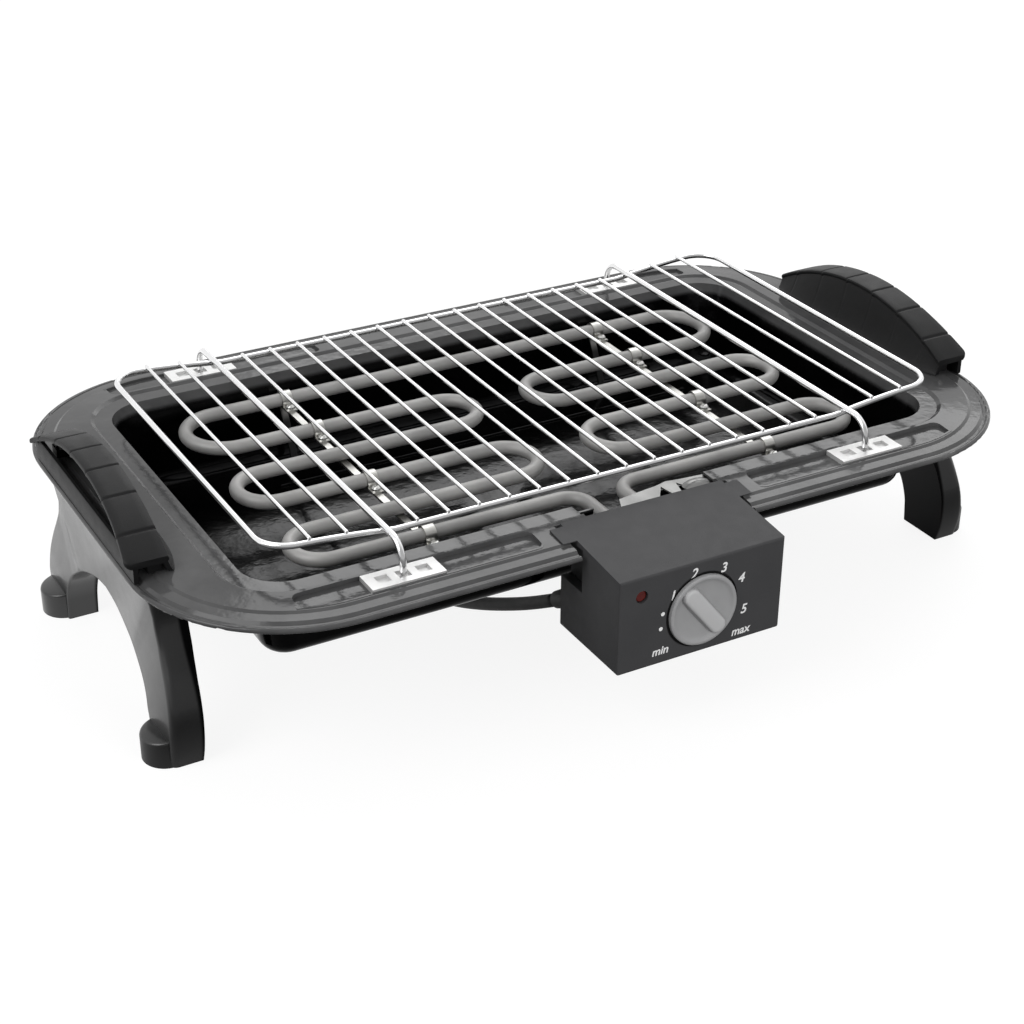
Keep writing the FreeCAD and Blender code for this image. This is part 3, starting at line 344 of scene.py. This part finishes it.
def handle_skin(side):
    """The hood: the strip follows the arch, less a groove depth exp(-((y - place) / half)^2) at each of six
    places, and reaches out by reach + flare |y / half|^3, tapered at its ends. Each ring runs over the strip,
    down the skirt, x = foot + width t^0.6, and back inside."""
    y = np.linspace(-HANDLE_HALF, HANDLE_HALF, 589)
    top = handle_top(y)
    for count in range(3):
        for end in (-1, 1):
            top = top - GROOVE_DEPTH * np.exp(-((y - end * (0.5 + count) * GROOVE_PITCH) / GROOVE_HALF) ** 2)
    reach = STRIP_REACH + STRIP_FLARE * np.abs(y / HANDLE_HALF) ** 3
    reach = reach - END_TAPER * np.clip((np.abs(y) - HANDLE_HALF + END_RUN) / END_RUN, 0, 1) ** 3
    columns = [np.stack([STRIP_X + reach * across + more, y, top + drop], 1) for across, more, drop in STRIP]
    foot = SKIRT_X + SKIRT_FLARE * np.abs(y / HANDLE_HALF) ** 6
    down = np.linspace(1, 0, 12)
    for inside, under, steps in ((0.0, 2.8, down), (SKIRT_WALL, 3.4, down[::-1])):
        for t in steps:
            x = foot + inside + (SKIRT_TOP_X - foot) * t ** 0.6
            columns.append(np.stack([x, y, SKIRT_Z + (top - under - SKIRT_Z) * t], 1))
    columns.append(np.stack([STRIP_X + reach - 1, y, top - 3.1], 1))
    rings = np.stack(columns, 1)
    rings[..., 0] *= side
    return loft(rings)


def band_skin(side):
    """The low outer band, a strip on edge under the arch, with its top at z = min(band top, arch - 1.2)."""
    y = np.linspace(-HANDLE_HALF + 0.4, HANDLE_HALF - 0.4, 60)
    top = np.minimum(BAND_TOP_Z, handle_top(y) - 1.2)
    section = ((BAND_X, BAND_LOW_Z), (BAND_OUT_X - 0.2, BAND_LOW_Z), (BAND_OUT_X, BAND_LOW_Z + 0.6),
               (BAND_OUT_X, top - 0.5), (BAND_OUT_X - 0.4, top), (BAND_X + 0.3, top), (BAND_X, top - 0.4))
    return loft(np.stack([np.stack([side * x + 0 * y, y, z + 0 * y], 1) for x, z in section], 1))


for name, side in SIDES:
    skin = joined([handle_skin(side), band_skin(side)])
    handle = make("handle_" + name + "_hood", skin, handle_plastic, "base")
    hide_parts("handle_" + name)

# The screws.
# Zinc-plated steel: they hold the handle mounts from below, and the element's clips on the brackets.
screw_steel = Finish("zinc-plated screw", metallic=1.0)
screw_steel.feed("Base Color",
                 screw_steel.blend(screw_steel.noise(600.0), (0.62, 0.62, 0.6), (0.8, 0.8, 0.79)))
screw_steel.feed("Roughness", 0.2 + 0.2 * screw_steel.noise(900.0))
screw_steel.on("mount_screws_left", "mount_screws_right", "clip_screws_left", "clip_screws_right")

# The height plates.
# Bright stamped sheet with three square sockets, lying in the channels of the flange.
plate_steel = Finish("bright plated sheet", metallic=0.55)
mottle = plate_steel.noise(160.0)
plate_steel.feed("Base Color", plate_steel.blend(mottle, (0.66, 0.66, 0.655), (0.76, 0.76, 0.755)))
plate_steel.feed("Roughness", 0.3 + 0.2 * plate_steel.noise(220.0))
plate_steel.bump(plate_steel.noise(800.0, 3.0), 0.00003)
plate_steel.on(*["height_plate_%s_%s" % (end, side) for end in ("front", "rear") for side, _ in SIDES])

# The heating element.
# One steel-sheathed tube in six rows, dulled by heat. It lies on the brackets under the clips.
element_steel = Finish("heat-dulled sheath", metallic=0.3)
patches = element_steel.noise(28.0, 4.0).step(0.3, 0.7)
element_steel.feed("Base Color", element_steel.blend(patches, (0.28, 0.277, 0.272), (0.4, 0.395, 0.387)))
element_steel.feed("Roughness", 0.38 + 0.22 * element_steel.noise(70.0))
element_steel.bump(element_steel.noise(1400.0, 3.0), 0.00004)
element_steel.on("heating_element")

# The brackets and clips under and over the element, and the thermostat.
# Zinc-plated sheet and rod. The brackets are darkened toward their feet, painted shade deep in the basin.
bracket_steel = Finish("zinc-plated sheet", metallic=1.0)
zinc = bracket_steel.blend(bracket_steel.noise(90.0), (0.5, 0.5, 0.48), (0.74, 0.73, 0.7))
clear_of_painted_shade = bracket_steel.axis("Z").step(0.070, 0.079)
bracket_steel.feed("Base Color", bracket_steel.blend(clear_of_painted_shade, (0.05, 0.05, 0.05), zinc))
bracket_steel.feed("Roughness", 0.22 + 0.25 * bracket_steel.noise(150.0))
bracket_steel.on("element_bracket_left", "element_bracket_right", "element_clips_left", "element_clips_right",
                 "thermostat_shaft", "thermostat_body")

# The heat shield.
# Dull plated sheet over the element's ends: a top with two triangular openings and a raised boss, and a
# folded wall with a floor below.
shield_steel = Finish("bright shield sheet", metallic=1.0)
mottle = shield_steel.noise(70.0)
shield_steel.feed("Base Color", shield_steel.blend(mottle, (0.16, 0.16, 0.158), (0.24, 0.24, 0.236)))
shield_steel.feed("Roughness", 0.2 + 0.2 * shield_steel.noise(110.0))
shield_steel.bump(shield_steel.noise(120.0, 2.0), 0.0002)
SHIELD_Z, SHIELD_HALF_SHEET = 92.9, 0.4
SHIELD_TOP = [(-9.5, -123.4), (-9.0, -118.0), (-4.5, -108.4), (14.0, -105.8), (19.0, -105.2), (25.5, -103.4),
              (33.0, -104.6), (47.0, -106.0), (47.0, -123.4)]
FIRST_OPENING = [(20.6, -107.2), (22.4, -118.6), (12.6, -118.6)]
SECOND_OPENING = [(29.6, -107.0), (26.6, -118.6), (33.4, -118.6), (31.6, -111.0)]
BOSS_X, BOSS_Y, BOSS_LONG, BOSS_WIDE, BOSS_RISE = 38.6, -113.0, 8.6, 5.4, 2.6
WALL_ENDS = (-29.5, 44.5)
WALL_SECTION = ((-123.6, 75.0), (-109.5, 75.0), (-109.5, 75.8), (-122.8, 75.8), (-122.8, SHIELD_Z),
                (-123.6, SHIELD_Z))


def meshed(curve):
    """The mesh that a curve or a text makes."""
    maker = bpy.data.objects.new("maker", curve)
    scene.collection.objects.link(maker)
    bpy.context.view_layer.update()
    mesh = bpy.data.meshes.new_from_object(maker.evaluated_get(bpy.context.evaluated_depsgraph_get()))
    bpy.data.objects.remove(maker)
    return mesh


def points_of(mesh):
    """A mesh's points in millimetres."""
    flat = np.empty(3 * len(mesh.vertices), np.float32)
    mesh.vertices.foreach_get("co", flat)
    return flat.reshape(-1, 3).astype(float) / MM


sheet_curve = bpy.data.curves.new("shield outline", "CURVE")
sheet_curve.dimensions = "2D"
sheet_curve.fill_mode = "BOTH"
sheet_curve.extrude = SHIELD_HALF_SHEET * MM
for corners in (SHIELD_TOP, FIRST_OPENING, SECOND_OPENING):
    spline = sheet_curve.splines.new("POLY")
    spline.points.add(len(corners) - 1)
    spline.use_cyclic_u = True
    for point, (x, y) in zip(spline.points, corners):
        point.co = (x * MM, y * MM, 0, 1)
flat = meshed(sheet_curve)
top_skin = (points_of(flat) + (0, 0, SHIELD_Z), [list(face.vertices) for face in flat.polygons])
angle = np.linspace(0, 2 * np.pi, 32, endpoint=False)
boss_rings = []
for share in (1.0, 0.9, 0.75, 0.55, 0.3, 0.1):
    height = SHIELD_Z + 0.3 + BOSS_RISE * (1 - share * share)
    boss_rings.append(np.stack([BOSS_X + BOSS_LONG * share * np.cos(angle),
                                BOSS_Y + BOSS_WIDE * share * np.sin(angle), height + 0 * angle], 1))
wall_rings = [[(x, y, z) for y, z in WALL_SECTION] for x in WALL_ENDS]
skin = joined([top_skin, loft(boss_rings), loft(wall_rings)])
shield = make("shield_sheet", skin, shield_steel, "heater_unit", 30)
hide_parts("heat_shield")

# The control box.
# A fine grained charcoal moulding with a plate behind.
box_plastic = Finish("grained charcoal moulding", roughness=0.5, specular_ior_level=0.15)
cloud = box_plastic.noise(45.0)
box_plastic.feed("Base Color", box_plastic.blend(cloud, (0.047, 0.047, 0.049), (0.058, 0.058, 0.06)))
box_plastic.feed("Roughness", 0.42 + 0.16 * box_plastic.noise(160.0))
box_plastic.bump(box_plastic.noise(2200.0, 3.0), 0.00005)
box_plastic.on("box_cover", "box_back")

# The knob.
# A pale grey satin moulding on the thermostat's shaft: a bevelled disc with a tapered grip bar. A flat black
# ring on the box is painted shade for the gap round it.
knob_plastic = Finish("pale grey moulding", roughness=0.4)
cloud = knob_plastic.noise(120.0)
disc_grey = knob_plastic.blend(cloud, (0.28, 0.28, 0.284), (0.33, 0.33, 0.334))
# The grip bar's front is painted lighter than the disc: a painted highlight.
outside_bar_highlight = knob_plastic.axis("Y").step(-0.1645, -0.1632)
knob_plastic.feed("Base Color", knob_plastic.blend(outside_bar_highlight, (0.46, 0.46, 0.464), disc_grey))
knob_plastic.feed("Roughness", 0.34 + 0.14 * knob_plastic.noise(260.0))
knob_plastic.bump(knob_plastic.noise(2400.0, 2.0), 0.00003)
# A flat black ring, painted shade in the gap round the knob.
gap_painted_shade = Finish("painted shade round the knob", roughness=0.6, specular_ior_level=0.2)
gap_painted_shade.feed("Base Color",
               gap_painted_shade.blend(gap_painted_shade.noise(200.0), (0.003, 0.003, 0.003), (0.006, 0.006, 0.006)))
KNOB_Z, KNOB_TURN = 65.5, math.radians(38.5)
KNOB_ANGLE = np.linspace(0, 2 * np.pi, 128, endpoint=False)
# The disc's profile as (radius, y), and the bar's as (how far its outline draws in, y).
DISC = ((4, -176.7), (18.2, -176.7), (18.8, -177), (18.8, -178.5), (18.6, -178.95), (18.1, -179.2),
        (17.3, -179.2), (16.9, -179.1), (16.5, -178.8), (15.9, -178.3), (14.6, -177.9), (12, -177.6),
        (6, -177.5), (1, -177.5))
BAR = ((-0.9, -177.3), (-0.5, -177.7), (-0.2, -178.3), (0, -178.9), (0.25, -179.9), (0.7, -180.5),
       (1.4, -180.85), (2.4, -180.95))
BAR_RADIUS, BAR_HALF = 4.6, 12.3
GAP_SHADE_RADII, GAP_SHADE_Y = (18.9, 19.9), -177.05


def dial_ring(radius, y):
    """A circle about the knob's axis: x = radius cos a, z = knob z + radius sin a."""
    x, z = radius * np.cos(KNOB_ANGLE), KNOB_Z + radius * np.sin(KNOB_ANGLE)
    return np.stack([x, y + 0 * KNOB_ANGLE, z], 1)


def bar_ring(drawn_in, y):
    """The bar's outline: two half circles of radius r, set apart by twice the half length and turned about
    the knob's axis."""
    radius = BAR_RADIUS - drawn_in
    along = np.where(np.sin(KNOB_ANGLE) >= 0, BAR_HALF, -BAR_HALF) + radius * np.sin(KNOB_ANGLE)
    wide = radius * np.cos(KNOB_ANGLE)
    x = wide * math.cos(KNOB_TURN) - along * math.sin(KNOB_TURN)
    z = KNOB_Z + wide * math.sin(KNOB_TURN) + along * math.cos(KNOB_TURN)
    return np.stack([x, y + 0 * KNOB_ANGLE, z], 1)


gap_shade_skin = loft([dial_ring(radius, GAP_SHADE_Y) for radius in GAP_SHADE_RADII], capped=False)
make("dial_gap_shade", gap_shade_skin, gap_painted_shade, "heater_unit")
knob_skin = joined([loft([dial_ring(*point) for point in DISC]), loft([bar_ring(*point) for point in BAR])])
knob = make("knob_dial", knob_skin, knob_plastic, "knob", 60)
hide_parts("knob")

# The indicator's lens.
# Clear red plastic in the front of the box, left of the knob.
lens_red = Finish("red lens", roughness=0.12, coat_weight=0.6)
lens_red.feed("Base Color", lens_red.blend(lens_red.noise(500.0), (0.05, 0.004, 0.003), (0.12, 0.009, 0.006)))
lens_red.on("indicator_lens")

# The dial's legends.
# Plain figures printed in white on the front of the box, from min round to max.
print_white = Finish("white print", roughness=0.5)
speckle = print_white.noise(900.0)
print_white.feed("Base Color", print_white.blend(speckle, (0.72, 0.72, 0.72), (0.86, 0.86, 0.86)))
DIAL_Y = MIDDLE_Y - 177.0
DOT_RADIUS, PRINT_HALF, PRINT_BOLD, PRINT_SLANT, FONT_SCALE = 1.1, 0.03, 0.14, 0.2, 1.35
# Words, x, z and height. A dot has no height of its own.
LEGENDS = (("min", -22.9, 48.7, 4.6), ("dot", -23.0, 61.0, 0), ("dot", -22.2, 69.0, 0),
           ("1", -17.1, 77.4, 5.2), ("2", -5.4, 86.2, 5.2), ("3", 11.3, 84.8, 5.2), ("4", 21.8, 76.2, 5.2),
           ("5", 24.4, 58.2, 5.2), ("max", 23.4, 46.5, 4.6))
for count, (words, x, z, size) in enumerate(LEGENDS):
    if size:
        curve = bpy.data.curves.new("legend", "FONT")
        curve.body = words
        curve.size = size * FONT_SCALE * MM
        curve.align_x = "CENTER"
        curve.align_y = "CENTER"
        curve.extrude = PRINT_HALF * MM
        curve.offset = PRINT_BOLD * MM
        curve.shear = PRINT_SLANT
        mesh = meshed(curve)
        place = Vector((x, DIAL_Y, z)) * MM
        mesh.transform(Matrix.Translation(place) @ Matrix.Rotation(math.pi / 2, 4, "X"))
        mesh.materials.clear()
    else:
        turn = np.radians(np.arange(0, 360, 30))
        ring = np.stack([x + DOT_RADIUS * np.cos(turn), DIAL_Y - PRINT_HALF + 0 * turn,
                         z + DOT_RADIUS * np.sin(turn)], 1)
        mesh = bpy.data.meshes.new("legend")
        mesh.from_pydata((ring * MM).tolist(), [], [list(range(len(turn)))])
    mesh.materials.append(print_white.material)
    legend = bpy.data.objects.new("dial_legend_%d" % count, mesh)
    scene.collection.objects.link(legend)
    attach(legend, "heater_unit")

# The strain relief, the plug and the tie.
# Black rubber mouldings at the cord's ends, nickelled brass pins in the plug, and a strap round the coil.
rubber = Finish("black rubber", roughness=0.55)
cloud = rubber.noise(60.0)
rubber.feed("Base Color", rubber.blend(cloud, (0.012, 0.012, 0.012), (0.024, 0.024, 0.024)))
rubber.feed("Roughness", 0.45 + 0.2 * rubber.noise(300.0))
rubber.bump(rubber.noise(1800.0, 2.0), 0.00004)
rubber.on("strain_relief", "plug_body", "cord_tie")
brass = Finish("nickelled pin", metallic=1.0)
brass.feed("Base Color", brass.blend(brass.noise(300.0), (0.66, 0.58, 0.4), (0.8, 0.74, 0.56)))
brass.feed("Roughness", 0.18 + 0.15 * brass.noise(500.0))
brass.on("plug_pins")

# The rack.
# Bright chromed wire: a frame with raised ends, nineteen thin rods welded on it and two thick rods that end
# in legs.
chrome = Finish("bright chrome wire", metallic=1.0)
tint = chrome.noise(40.0)
chrome.feed("Base Color", chrome.blend(tint, (0.82, 0.82, 0.82), (0.92, 0.92, 0.93)))
chrome.feed("Roughness", 0.1 + 0.12 * chrome.noise(150.0))
chrome.on("rack_leg_left", "rack_leg_right")
RACK_X, RACK_Y, RACK_Z, RISE, RISE_FROM = 191.4, 107.0, 108.2, 5.3, 126.5
WIRE_RADIUS, WIRE_CORNER, WIRE_POINTS, ENDS_SHIFT = 1.55, 16.0, 900, 0.9
ROD_PITCH, OUTER_ROD_X, OUTER_ROD_PITCH, ROD_ABOVE_WIRE = 16.4, 132.5, 18.5, 2.05
# Along a thin rod, (y, radius): its ends are rounded.
ROD = ((-107.5, 0.3), (-107.3, 0.75), (-107.0, 0.98), (-106, 1), (0, 1), (106, 1), (107.0, 0.98),
       (107.3, 0.75), (107.5, 0.3))


def bent(corners, radius):
    """A path through corners, each rounded by the radius. The arc starts radius / tan(half the inner angle)
    before its corner and takes a point for about each tenth of a radian."""
    corners = [np.asarray(corner, float) for corner in corners]
    path = [corners[0]]
    for before, corner, after in zip(corners, corners[1:], corners[2:]):
        inward = (before - corner) / np.linalg.norm(before - corner)
        outward = (after - corner) / np.linalg.norm(after - corner)
        half = np.arccos(np.clip(inward @ outward, -1, 1)) / 2
        middle = (inward + outward) / np.linalg.norm(inward + outward)
        centre = corner + middle * radius / np.sin(half)
        start = corner + inward * radius / np.tan(half) - centre
        end = corner + outward * radius / np.tan(half) - centre
        turn = np.pi - 2 * half
        share = np.linspace(0, 1, int(turn / 0.1) + 2)[:, None]
        arc = (start * np.sin((1 - share) * turn) + end * np.sin(share * turn)) / np.sin(turn)
        path.extend(centre + arc)
    path.append(corners[-1])
    return np.array(path)


def tube(path, radius, sides, closed=False):
    """A tube as a loft of circles, centre + radius (side cos a + over sin a), one at each point of the path,
    with side = along x up and over = side x along."""
    path = np.asarray(path, float)
    along = np.roll(path, -1, 0) - np.roll(path, 1, 0) if closed else np.gradient(path, axis=0)
    along /= np.linalg.norm(along, axis=1, keepdims=True)
    side = np.cross(along, (0, 0, 1))
    side /= np.linalg.norm(side, axis=1, keepdims=True)
    over = np.cross(side, along)
    angle = (np.arange(sides) * 2 * np.pi / sides)[:, None]
    radius = np.broadcast_to(radius, len(path))[:, None, None]
    rings = path[:, None] + radius * (side[:, None] * np.cos(angle) + over[:, None] * np.sin(angle))
    return loft(rings, closed)


def rack_height(x):
    """The frame wire's height, z = rack z + rise sin(pi/2 share): share runs from 0 at the rise's start to
    1 at the end."""
    share = np.clip((np.abs(x) - RISE_FROM) / (RACK_X - RISE_FROM), 0, 1)
    return RACK_Z + RISE * np.sin(share * np.pi / 2)


plan = bent([(0, -RACK_Y, 0), (RACK_X, -RACK_Y, 0), (RACK_X, RACK_Y, 0), (-RACK_X, RACK_Y, 0),
             (-RACK_X, -RACK_Y, 0), (-1, -RACK_Y, 0)], WIRE_CORNER)
plan = evenly(plan, WIRE_POINTS)[:-1]
plan[:, 2] = rack_height(plan[:, 0])
plan[:, 0] += ENDS_SHIFT * np.abs(plan[:, 0] / RACK_X) ** 4
wire_skin = tube(plan, WIRE_RADIUS, 14, closed=True)
frame_piece = make("rack_wire", wire_skin, chrome, "rack")
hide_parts("rack_frame")
rod_y, rod_radius = np.array(ROD).T
rod_places = [count * ROD_PITCH for count in range(-7, 8)]
rod_places += [side * (OUTER_ROD_X + count * OUTER_ROD_PITCH) for _, side in SIDES for count in (1, 2)]
rods = []
for x in rod_places:
    rod_z = rack_height(x) + ROD_ABOVE_WIRE
    rods.append(tube(np.stack([x + 0 * rod_y, rod_y, rod_z + 0 * rod_y], 1), rod_radius, 14))
rod_piece = make("rack_cross_rods", joined(rods), chrome, "rack")
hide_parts("rack_rods")

# The cord.
# Seven millimetre black rubber lead: out of the strain relief, down to the table, under the tub, and put away
# in a coil behind.
EXIT = (-38.245, MIDDLE_Y - 106.962, 44.453)
BENDS = [(-41.2, -91.5, 35.2), (-45.0, -72.0, 25.0), (-50.0, -52.0, 16.0), (-56.0, -32.0, 9.0),
         (-62.0, -11.0, 4.8), (-67.0, 11.0, 3.6), (-70.0, 34.0, 3.6), (-71.0, 58.0, 3.7), (-71.0, 84.0, 3.8),
         (-69.8, 112.0, 4.1), (-67.8, 140.0, 4.4), (-66.2, 168.0, 4.6), (-66.2, 191.6, 4.6)]
# After the coil, how far toward the front and up the lead goes to its plug.
TO_PLUG = ((6, 0), (13, 0.4), (20, 3.3), (27, 6.2), (36, 6.6), (47, 6.6))
CORD_RADIUS = 3.5
COIL_Y, COIL_PITCH, COIL_RADIUS = MIDDLE_Y + 203.0, 7.6, 46.2
STEP = math.pi / 8
route = [EXIT] + [(x, y + MIDDLE_Y, z) for x, y, z in BENDS]
turn_x, turn_z, heading = route[-1][0], route[-1][2], 1
for layer in (0, 1, 2, 3, 2, 1, 0):
    radius = COIL_RADIUS - layer * COIL_PITCH / 2
    spread = radius / math.cos(STEP / 2)
    rise = COIL_PITCH if layer == 3 else 0
    for count in range(8):
        angle = (count + 0.5) * STEP
        route.append((turn_x + heading * (radius - spread * math.cos(angle)),
                      COIL_Y + heading * spread * math.sin(angle), turn_z + rise * (1 - math.cos(angle)) / 2))
    turn_x += 2 * heading * radius
    turn_z += rise
    heading = -heading
route += [(turn_x, COIL_Y - back, turn_z + lift) for back, lift in TO_PLUG]
curve = bpy.data.curves.new("cord line", "CURVE")
curve.dimensions = "3D"
spline = curve.splines.new("NURBS")
spline.points.add(len(route) - 1)
for point, place in zip(spline.points, route):
    point.co = (*(value * MM for value in place), 1)
spline.order_u = 3
spline.use_endpoint_u = True
spline.resolution_u = 8
line = points_of(meshed(curve))
points, faces = tube(line, CORD_RADIUS, 16)
cord_mesh = bpy.data.meshes.new("cord")
cord_mesh.from_pydata((points * MM).tolist(), [], faces)
cord_mesh.shade_smooth()
cord_mesh.materials.append(rubber.material)
cord = bpy.data.objects.new("cord", cord_mesh)
scene.collection.objects.link(cord)
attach(cord, "base")
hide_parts("power_cord", "cord_coil")

# The stage.
# A pale floor that shows white to the camera and keeps a soft shadow, a white surround and three large soft
# lamps. Reflections of floor and surround fade toward the front, and the front lamp shows in none.
floor_mesh = bpy.data.meshes.new("floor")
floor_mesh.from_pydata([(-6, -6, 0), (6, -6, 0), (6, 6, 0), (-6, 6, 0)], [], [(0, 1, 2, 3)])
floor = bpy.data.objects.new("floor", floor_mesh)
scene.collection.objects.link(floor)
pale = Finish("pale floor", roughness=0.9, base_color=0.15, emission_color=1.0)
behind = pale.axis("Y").step(-0.14, 0.06)
mirrored = pale.ray("Glossy") + pale.ray("Transmission")
pale.feed("Emission Strength", 0.88 * (pale.ray("Camera") + mirrored * behind))
floor_mesh.materials.append(pale.material)
world = bpy.data.worlds.new("surround")
scene.world = world
world.use_nodes = True
surround = Tree(world.node_tree)
direction = surround.node("ShaderNodeTexCoord", output="Generated")
backward = surround.node("ShaderNodeSeparateXYZ", None, {0: direction}, "Y").step(-0.75, 0.0)
mirrored = surround.ray("Glossy") + surround.ray("Transmission")
seen = surround.node("ShaderNodeMath", {"operation": "ADD", "use_clamp": True},
                     {0: surround.ray("Camera"), 1: mirrored * backward})
background = world.node_tree.nodes["Background"]
surround.join(background.inputs["Color"], 1.0)
surround.join(background.inputs["Strength"], 0.45 + 0.55 * seen)
# Each lamp's name, place in metres, size in metres and power in watts.
LAMPS = (("key", (-1.5, -0.3, 1.4), 1.2, 16), ("back", (0.9, 1.2, 1.5), 1.4, 13),
         ("front", (0.3, -1.7, 0.5), 0.9, 15))
AIM = Vector((0, 0, 0.05))
for name, place, size, power in LAMPS:
    lamp = bpy.data.lights.new(name, "AREA")
    lamp.size = size
    lamp.energy = power
    holder = bpy.data.objects.new(name, lamp)
    holder.location = place
    holder.visible_glossy = name != "front"
    holder.rotation_euler = (AIM - Vector(place)).to_track_quat("-Z", "Y").to_euler()
    scene.collection.objects.link(holder)
